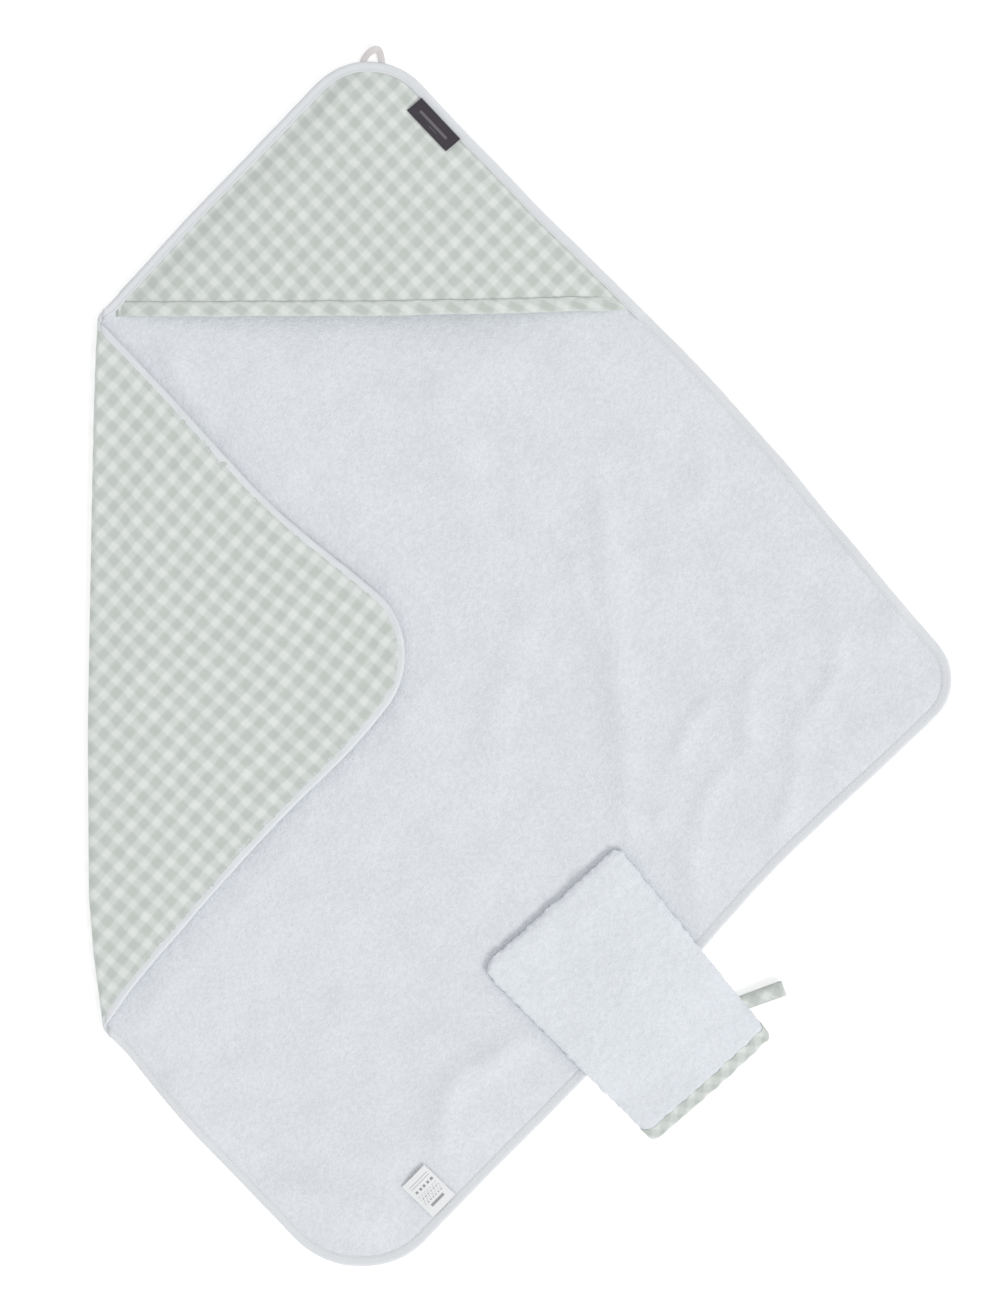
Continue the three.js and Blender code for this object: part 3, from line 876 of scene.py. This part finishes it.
def hood_piece(name, step, low, high, material, rough=0.0):
    """One of the hood's two cloths. Its heights are given at its sewn sides and further in."""
    front = HOOD_FRONT_Y + EDGE_INSET
    x_range, y_range = (HOOD_LEFT_X, HOOD_LEFT_X + 0.448), (front, front + 0.225)
    grid = Grid(hood_outline, EDGE_INSET, step, x_range, y_range, 1, front)
    x, y = grid.points.T
    soft = smooth(0.008, 0.03, grid.inside)
    top, bottom = (mix(h[0], h[1], soft) for h in (high, low))
    bottom = bottom - rough * 0.0004 * soft * (1 + pile(x, y)) * 0.5
    top, bottom = hooded(x, y, top), hooded(x, y, bottom)
    return closed_sheet(name, grid.quads, top, bottom, cut_place(x, y), material)


hood_lining = hood_piece("hood_lining", 0.0036, (0.0, 0.0), (0.0008, 0.0018), terry, rough=1.0)
hood_panel = hood_piece("hood_panel", 0.0028, (0.0009, 0.0019), (0.0015, 0.0026), gingham)


def hood_strip(x, y, height):
    """Points of the hood's binding, whose two ends are cut to the towel's slanting sides."""
    share = (x - hood_left[0]) / (hood_right[0] - hood_left[0])
    first = np.maximum(hood_left[0], side_x(LEFT, y) + 0.004)
    tapered = height * mix(0.3, 1.0, smooth(0.0, 0.008, x - hood_left[0]))
    return hooded(mix(first, side_x(RIGHT, y) - 0.004, share), y, tapered)


STRIP_STRETCH = 1.2  # a strip cut on the bias is pulled long as it is sewn on
count = int(round((hood_right[0] - HOOD_LEFT_X) / 0.0028))
x = np.linspace(hood_left[0], hood_right[0], count + 1)
lip = 0.0005 * broad(x, 0, 0.02) + 0.0006 * (1 - smooth(0, 0.05, x - HOOD_LEFT_X))
centres = columns(x, HOOD_FRONT_Y + lip, 0)
soft = smooth(0.008, 0.03, -main_outline.distance(centres[:, :2])[0])
low_section = wrap_section(HOOD_BINDING_WIDTH, -0.0005, 0.0018, GINGHAM_TAPE)
high_section = wrap_section(HOOD_BINDING_WIDTH, -0.0006, 0.0029, GINGHAM_TAPE)
sections = mix(low_section, high_section, soft[:, None, None])
place = on_bias(section_cut(high_section, x / STRIP_STRETCH, 0.0056))
hood_binding = sweep("hood_binding_tape", centres, (0, -1, 0), sections, place, gingham, lay=hood_strip)
seam_y = centres[:, 1] + HOOD_BINDING_WIDTH * HOOD_SEAM_AT
seam = hood_strip(x, seam_y, mix(0.0017, 0.0029, soft))
hood_stitches = stitches("hood_stitches", seam, *FINE_STITCH)

# ---- hanging loop


def curve(a, b, c, d):
    """A Bezier curve from a to d."""
    t = np.linspace(0, 1, 31)[:, None]
    return (1 - t) ** 3 * a + 3 * (1 - t) ** 2 * t * b + 3 * (1 - t) * t**2 * c + t**3 * d


def arch_path(left, apex, right, height, foot):
    """A leaning arch of tape: three points joined by two smooth quarter curves."""
    a, m, b = np.array([left, foot]), np.array([apex, height]), np.array([right, foot])
    rise = curve(a, a + [0, height * 0.8], m - [abs(apex - left) * 0.45, 0], m)
    fall = curve(m, m + [abs(right - apex) * 0.6, 0], b + [0, height * 0.9], b)
    return np.concatenate([rise, fall[1:]])


loop_low, loop_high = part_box("hanging_loop")
loop_x = (loop_low[0] + loop_high[0]) / 2
LOOP_TAPE = 0.0062
loop_rise = loop_high[1] - loop_low[1] - LOOP_TAPE / 2 - 0.0020
path = arch_path(-0.0098, 0.0030, 0.0072, loop_rise, -0.0060)
path, outs, s = even(path, 0.0007)
rise = smooth(-0.004, 0.012, path[:, 1])
twist = 0.35 * np.sin(2.2 * math.pi * s / s[-1])
centres = columns(path + [loop_x, loop_low[1]], mix(0.0030, 0.0046, rise))
outs3 = columns(outs * np.cos(twist)[:, None], np.sin(twist))
ups = columns(-outs * np.sin(twist)[:, None], np.cos(twist))
under = [[-1, -0.1], [0, -0.3], [1, -0.1]]
over = [[1, 0.5], [0.9, 0.62], [0, 0.5], [-0.9, 0.62], [-1, 0.5]]
tape_section = np.array(under + over) * [LOOP_TAPE / 2, 0.0011]
hanging_loop = sweep(
    "hanging_loop_tape", centres, outs3, tape_section, section_cut(tape_section, s), loop_tape, ups=ups
)

# ---- labels

WOVEN_LABEL, CARE_LABEL = (0.048, 0.0165), (0.027, 0.037)
LABEL_STEP = 0.0005


def label_sheet(name, start, end, along, size, inset, lay, height, thickness, ink, material):
    """A label inside the edge from one corner to the next, with ink drawn in its own two directions."""
    run, _ = course(start, end)
    inward = np.array([run[1], -run[0]])
    nx, ny = (int(round(d / LABEL_STEP)) for d in size)
    u, v = np.meshgrid(np.linspace(0, size[0], nx + 1), np.linspace(0, size[1], ny + 1), indexing="ij")
    u, v = u.ravel(), v.ravel()
    flat = start + (along - size[0] / 2 + u)[:, None] * run + (inset + v)[:, None] * inward
    quads = cells(nx + 1, ny + 1)
    h = height(u, v)
    top = lay(*columns(flat, h + thickness).T)
    bottom = lay(*columns(flat, h).T)
    piece = closed_sheet(name, quads, top, bottom, columns(u, v), material)
    values = np.tile(columns(u, v, ink(u, v)), (2, 1))
    piece.data.attributes["cut"].data.foreach_set("vector", values.astype(np.float32).ravel())
    return piece


def bars(value, centre, half):
    return (np.abs(value - centre) < half).astype(float)


def woven_ink(u, v):
    """Two plain woven bars where a label's words would be."""
    return bars(u, 0.024, 0.0165) * bars(v, 0.0085, 0.0014) + bars(u, 0.027, 0.0050) * bars(v, 0.0120, 0.0005)


def care_ink(u, v):
    """Generic print, outermost first: a bar, rows of short dashes, a row of small squares, two lines."""
    side = bars(u, 0.0135, 0.0105)
    dashes = (np.sin(u * 2 * math.pi / 0.0031 + 900 * np.floor(v / 0.0017)) > -0.35).astype(float)
    rows = ((v > 0.0105) & (v < 0.0210)) * (np.mod(v, 0.0017) < 0.0007) * dashes
    squares = bars(v, 0.0245, 0.0013) * (np.mod(u - 0.003, 0.0043) < 0.0026)
    thin_lines = bars(v, 0.0290, 0.0003) + bars(v, 0.0315, 0.0003)
    head = bars(v, 0.0080, 0.0013) * bars(u, 0.0135, 0.0075)
    return np.clip(side * (0.75 * rows + 0.85 * squares + thin_lines) + head, 0, 1)


def woven_height(u, v):
    return mix(0.0038, 0.0033, smooth(0.001, 0.005, v)) + 0.0004 * np.sin(u * 90) ** 2


def care_height(u, v):
    curl = 0.0012 * smooth(0.006, 0.037, v) * (1 + np.sin(u * 150))
    return mix(0.0055, 0.0062, smooth(0, 0.008, v)) + curl


woven_label = label_sheet(
    "woven_label_cloth", TOP, RIGHT, 0.098, WOVEN_LABEL, 0.0083, hooded,
    woven_height, 0.0005, woven_ink, label_cloth,
)
care_label = label_sheet(
    "care_label_satin", RIGHT, BOTTOM, 0.629, CARE_LABEL, 0.0094, lying,
    care_height, 0.0004, care_ink, satin,
)

# ---- wash mitt

MITT_PANEL, MITT_AT_MOUTH = 0.0026, 0.62  # the panel's thickness, and its share at the mouth
SEAM_RISE = 0.0043
ON_TOWEL_Z, ON_FLOOR_Z = 0.0064, 0.0012
CROWN_Z, MOUTH_CROWN_Z = 0.0185, 0.0165
ROUND = 0.0075  # how far in from a seam the panel is rounded
MITT_TAPER = 0.145
MITT_ROUNDS = [0.012, 0, 0, 0.008]


def mitt_world(u, v, z):
    """Floor places of the mitt's own coordinates. It narrows towards its mouth."""
    c, s = math.cos(MITT_TURN), math.sin(MITT_TURN)
    share = u / MITT_LENGTH
    u, v = u - 0.0055 * (1 - share), v * (1.035 - MITT_TAPER * share)
    return columns(MITT_PLACE[0] + u * c - v * s, MITT_PLACE[1] + u * s + v * c, z)


def mitt_base(u):
    """The mitt's underside: on the towel, then down past its edge to the floor."""
    return mix(ON_TOWEL_Z, ON_FLOOR_Z, smooth(0.120, 0.160, u))


def mitt_round(u, v):
    """0 at the sewn edges, 1 where the panel lies flat, whatever the distance from the mouth."""
    d = -mitt_body.distance(columns(u, v))[0]
    t = np.clip(d / ROUND, 0, 1)
    return np.sqrt(np.maximum(1 - (1 - t) ** 2, 0))


def mitt_front_under(u, v):
    """The underside of the front panel: down at the seams, highest along the middle."""
    seam = mitt_base(u) + SEAM_RISE
    opened = smooth(0, 0.6 * MITT_LENGTH, u)
    crown = mix(CROWN_Z, MOUTH_CROWN_Z, np.clip(u / MITT_LENGTH, 0, 1))
    across = 2 * v / MITT_WIDTH
    dome = seam + (crown - seam) * opened * np.maximum(1 - across**2, 0)
    soft = 0.0008 * broad(u + 0.4, v, 0.045) + 0.0005 * fine(u, v + 0.2, 0.021)
    return mix(mitt_base(u) + 0.0030, dome + soft, mitt_round(u, v))


def tufts(u, v):
    """The mitt's longer loops, in tufts."""
    return 0.6 * loops(u, v, 0.0034) + 0.5 * cross(u * 0.8 + v * 0.6, v * 0.8 - u * 0.6, 0.0061)


half = MITT_WIDTH / 2
# The body's outline runs on past the mouth, so that the mouth isn't rounded as the seams are.
mitt_body, mitt_cut = (
    Outline([(0, -half), (end, -half), (end, half), (0, half)], MITT_ROUNDS)
    for end in (0.30, MITT_LENGTH - 0.002)
)
mitt_grid = Grid(mitt_cut, 0.0004, 0.0016, (0.0002, 0.2002), (-0.0752, 0.0752))
u, v = mitt_grid.points.T
out = mitt_cut.distance(mitt_grid.points)[1]
near_rim = np.exp(-mitt_grid.inside / 0.003) * smooth(0.0, 0.012, MITT_LENGTH - 0.006 - u)
scallop = 0.0011 * tufts(u, v) + 0.0005 * fine(u, v, 0.0027)
edge_u, edge_v = u + out[:, 0] * near_rim * scallop, v + out[:, 1] * near_rim * scallop
flat = mitt_round(u, v)
rough = 0.00042 * tufts(u, v) * smooth(0.0, 0.003, MITT_LENGTH - 0.0085 - u)
mouth = smooth(MITT_LENGTH - 0.0115, MITT_LENGTH - 0.0085, u)
thick = MITT_PANEL * mix(1.0, MITT_AT_MOUTH, mouth)


def mitt_panel(name, over, under, apart):
    """A panel of the mitt. Its cut place is set apart from the other's, so that their loops differ."""
    top, bottom = mitt_world(edge_u, edge_v, over), mitt_world(edge_u, edge_v, under)
    return closed_sheet(name, mitt_grid.quads, top, bottom, columns(u, v) + apart, mitt_terry)


under = mitt_front_under(u, v)
mitt_front = mitt_panel("mitt_front_terry", under + thick * mix(0.25, 1.0, flat) + rough, under, 1.0)
low = mitt_base(u) + (1 - flat) * 0.0022 + 0.0002
high = mitt_base(u) + mix(0.0029, thick, flat)
mitt_back = mitt_panel("mitt_back_terry", high, np.minimum(low, high - 0.0003), 2.0)

MOUTH_CORNER = 0.006
count = 110
v = np.linspace(-half, half, count + 1)
ripple = 0.0006 * np.sin(v * 2 * math.pi / 0.017) + 0.0005 * fine(v, 0, 0.009)
corner = np.clip((np.abs(v) - half + MOUTH_CORNER) / MOUTH_CORNER, 0, 1)
mouth_u = MITT_LENGTH + ripple * 0.6 - MOUTH_CORNER * (1 - np.sqrt(1 - corner**2 * 0.96))
centres = columns(mouth_u, v, 0)
mouth_top = MITT_PANEL * MITT_AT_MOUTH + 0.0009
mouth_section = wrap_section(MITT_BINDING_WIDTH, -0.0005, mouth_top, GINGHAM_TAPE, 0.0003)


def on_mitt_front(u, v, h):
    return mitt_world(u, v, mitt_front_under(u, v) + h)


def on_mitt_back(u, v, h):
    return mitt_world(u, v, mitt_base(u) + h + 0.0003)


mouth_cut = on_bias(section_cut(mouth_section, v))
wide = np.broadcast_to(mouth_section, (count + 1, *mouth_section.shape)).copy()
wide[:, :, 0] *= (1 + 0.09 * np.sin(v * 2 * math.pi / 0.019))[:, None]
front_mouth, back_mouth = (
    sweep(name, centres, (1, 0, 0), wide, mouth_cut, gingham, lay=lay)
    for name, lay in (("mitt_front_mouth", on_mitt_front), ("mitt_back_mouth", on_mitt_back))
)
seam = on_mitt_front(centres[:, 0] - MITT_BINDING_WIDTH * SEAM_AT, v, 0.0021)
mitt_stitches = stitches("mitt_stitches", seam, *FINE_STITCH)

# The loop: a tape folded in two, its ends caught in the mitt's side seam.
pivot = np.array(JOINTS["mitt_loop_swing"]["pos_m"])
lean = MITT_TURN + math.radians(90 - 22)
reach = np.array([math.cos(lean), math.sin(lean), 0])
broadside = np.array([-math.sin(lean), math.cos(lean), 0])
LOOP_LENGTH, LOOP_WIDTH, LOOP_RISE = 0.0255, 0.0128, 0.0028
turn = np.linspace(-math.pi / 2, math.pi / 2, 11)
straight = LOOP_LENGTH - LOOP_RISE
nose = columns(straight + LOOP_RISE * np.cos(turn), LOOP_RISE * np.sin(turn))
lower = columns(np.linspace(-0.013, straight - 0.002, 12), np.linspace(-0.0006, -LOOP_RISE, 12))
path, outs, s = even(np.concatenate([lower, nose, lower[::-1] * [1, -1]]), 0.0012)
centres = pivot + path[:, :1] * reach + (path[:, 1:] - 0.0022) * [0, 0, 1]
centres[:, 2] = np.maximum(centres[:, 2], 0.0008)
ahead = np.gradient(centres, axis=0)
ups = np.cross(broadside, ahead)
ups /= np.linalg.norm(ups, axis=1)[:, None]
tape_section = np.array([[-1, 0], [0, -0.1], [1, 0], [1, 1], [0, 0.9], [-1, 1]]) * [LOOP_WIDTH / 2, 0.0008]
mitt_loop = sweep(
    "mitt_loop_tape", centres, broadside, tape_section,
    on_bias(section_cut(tape_section, s)), gingham, ups=ups,
)

# ---- what moves with what

for body, carried in {
    "towel": (terry_main, muslin_main, towel_binding, towel_stitches),
    "corner_flap": (terry_flap, muslin_flap, flap_binding, flap_stitches),
    "hanging_loop": (hanging_loop,),
    "woven_label": (woven_label,),
    "care_label": (care_label,),
    "mitt": (mitt_back, back_mouth),
    "mitt_loop": (mitt_loop,),
}.items():
    for piece in carried:
        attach(piece, body)

for piece, low, high in (
    (muslin_band, 0.0011, 0.0111),
    (terry_band, 0.0012, 0.0110),
    (fold_bindings[0], 0.0005, 0.0117),
    (fold_bindings[1], 0.0005, 0.0117),
):
    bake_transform(piece)
for piece in (hood_lining, hood_panel, hood_binding, hood_stitches):
    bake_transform(piece)

for piece in (mitt_front, front_mouth, mitt_stitches):
    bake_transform(piece)

for piece, *nodes in (
    (terry_main, "terry_towel"),
    (muslin_main, "muslin_backing"),
    (towel_binding, "edge_binding"),
    (terry_flap, "terry_flap"),
    (muslin_flap, "muslin_flap"),
    (flap_binding, "flap_binding"),
    (muslin_band, "muslin_fold"),
    (terry_band, "terry_fold"),
    (hood_lining, "hood_front_lining", "hood_point_lining"),
    (hood_panel, "hood_front_panel", "hood_point_panel"),
    (hood_binding, "hood_binding"),
    (hanging_loop, "hanging_loop"),
    (woven_label, "woven_label"),
    (care_label, "care_label"),
    (mitt_back, "mitt_back"),
    (mitt_front, "mitt_front"),
    (back_mouth, "mitt_back_binding"),
    (front_mouth, "mitt_front_binding"),
    (mitt_loop, "mitt_loop"),
):
    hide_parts(*nodes)

# ---- floor and light

FLOOR_REACH, FLOOR_Z = 60.0, -0.0006
FLOOR_GLOW = 0.30  # the floor is lit from behind, so that shadows on it stay nearly white


def floor_material():
    m = Nodes("floor", (0.94,) * 3, 0.9, specular=0.1)
    m.sockets["Emission Color"].default_value = (1, 1, 1, 1)
    m.sockets["Emission Strength"].default_value = FLOOR_GLOW
    return m.material


corners = [(x * FLOOR_REACH, y * FLOOR_REACH, FLOOR_Z) for x, y in ((-1, -1), (1, -1), (1, 1), (-1, 1))]
floor = make_mesh("floor", corners, [(0, 1, 2, 3)], None, floor_material())

KEY_FROM = Vector((1.2, -1.0, 1.5))
SUN, SKY = 1.12, 0.72
key_data = bpy.data.lights.new("key", "SUN")
key_data.angle = math.radians(24)
key_data.energy = SUN
placed("key", key_data).rotation_euler = (-KEY_FROM).to_track_quat("-Z", "Y").to_euler()

world = bpy.data.worlds.new("world")
world.use_nodes = True
sky = world.node_tree.nodes["Background"].inputs
sky["Color"].default_value = (1, 1, 1, 1)
sky["Strength"].default_value = SKY
scene.world = world
scene.view_settings.view_transform = "Standard"
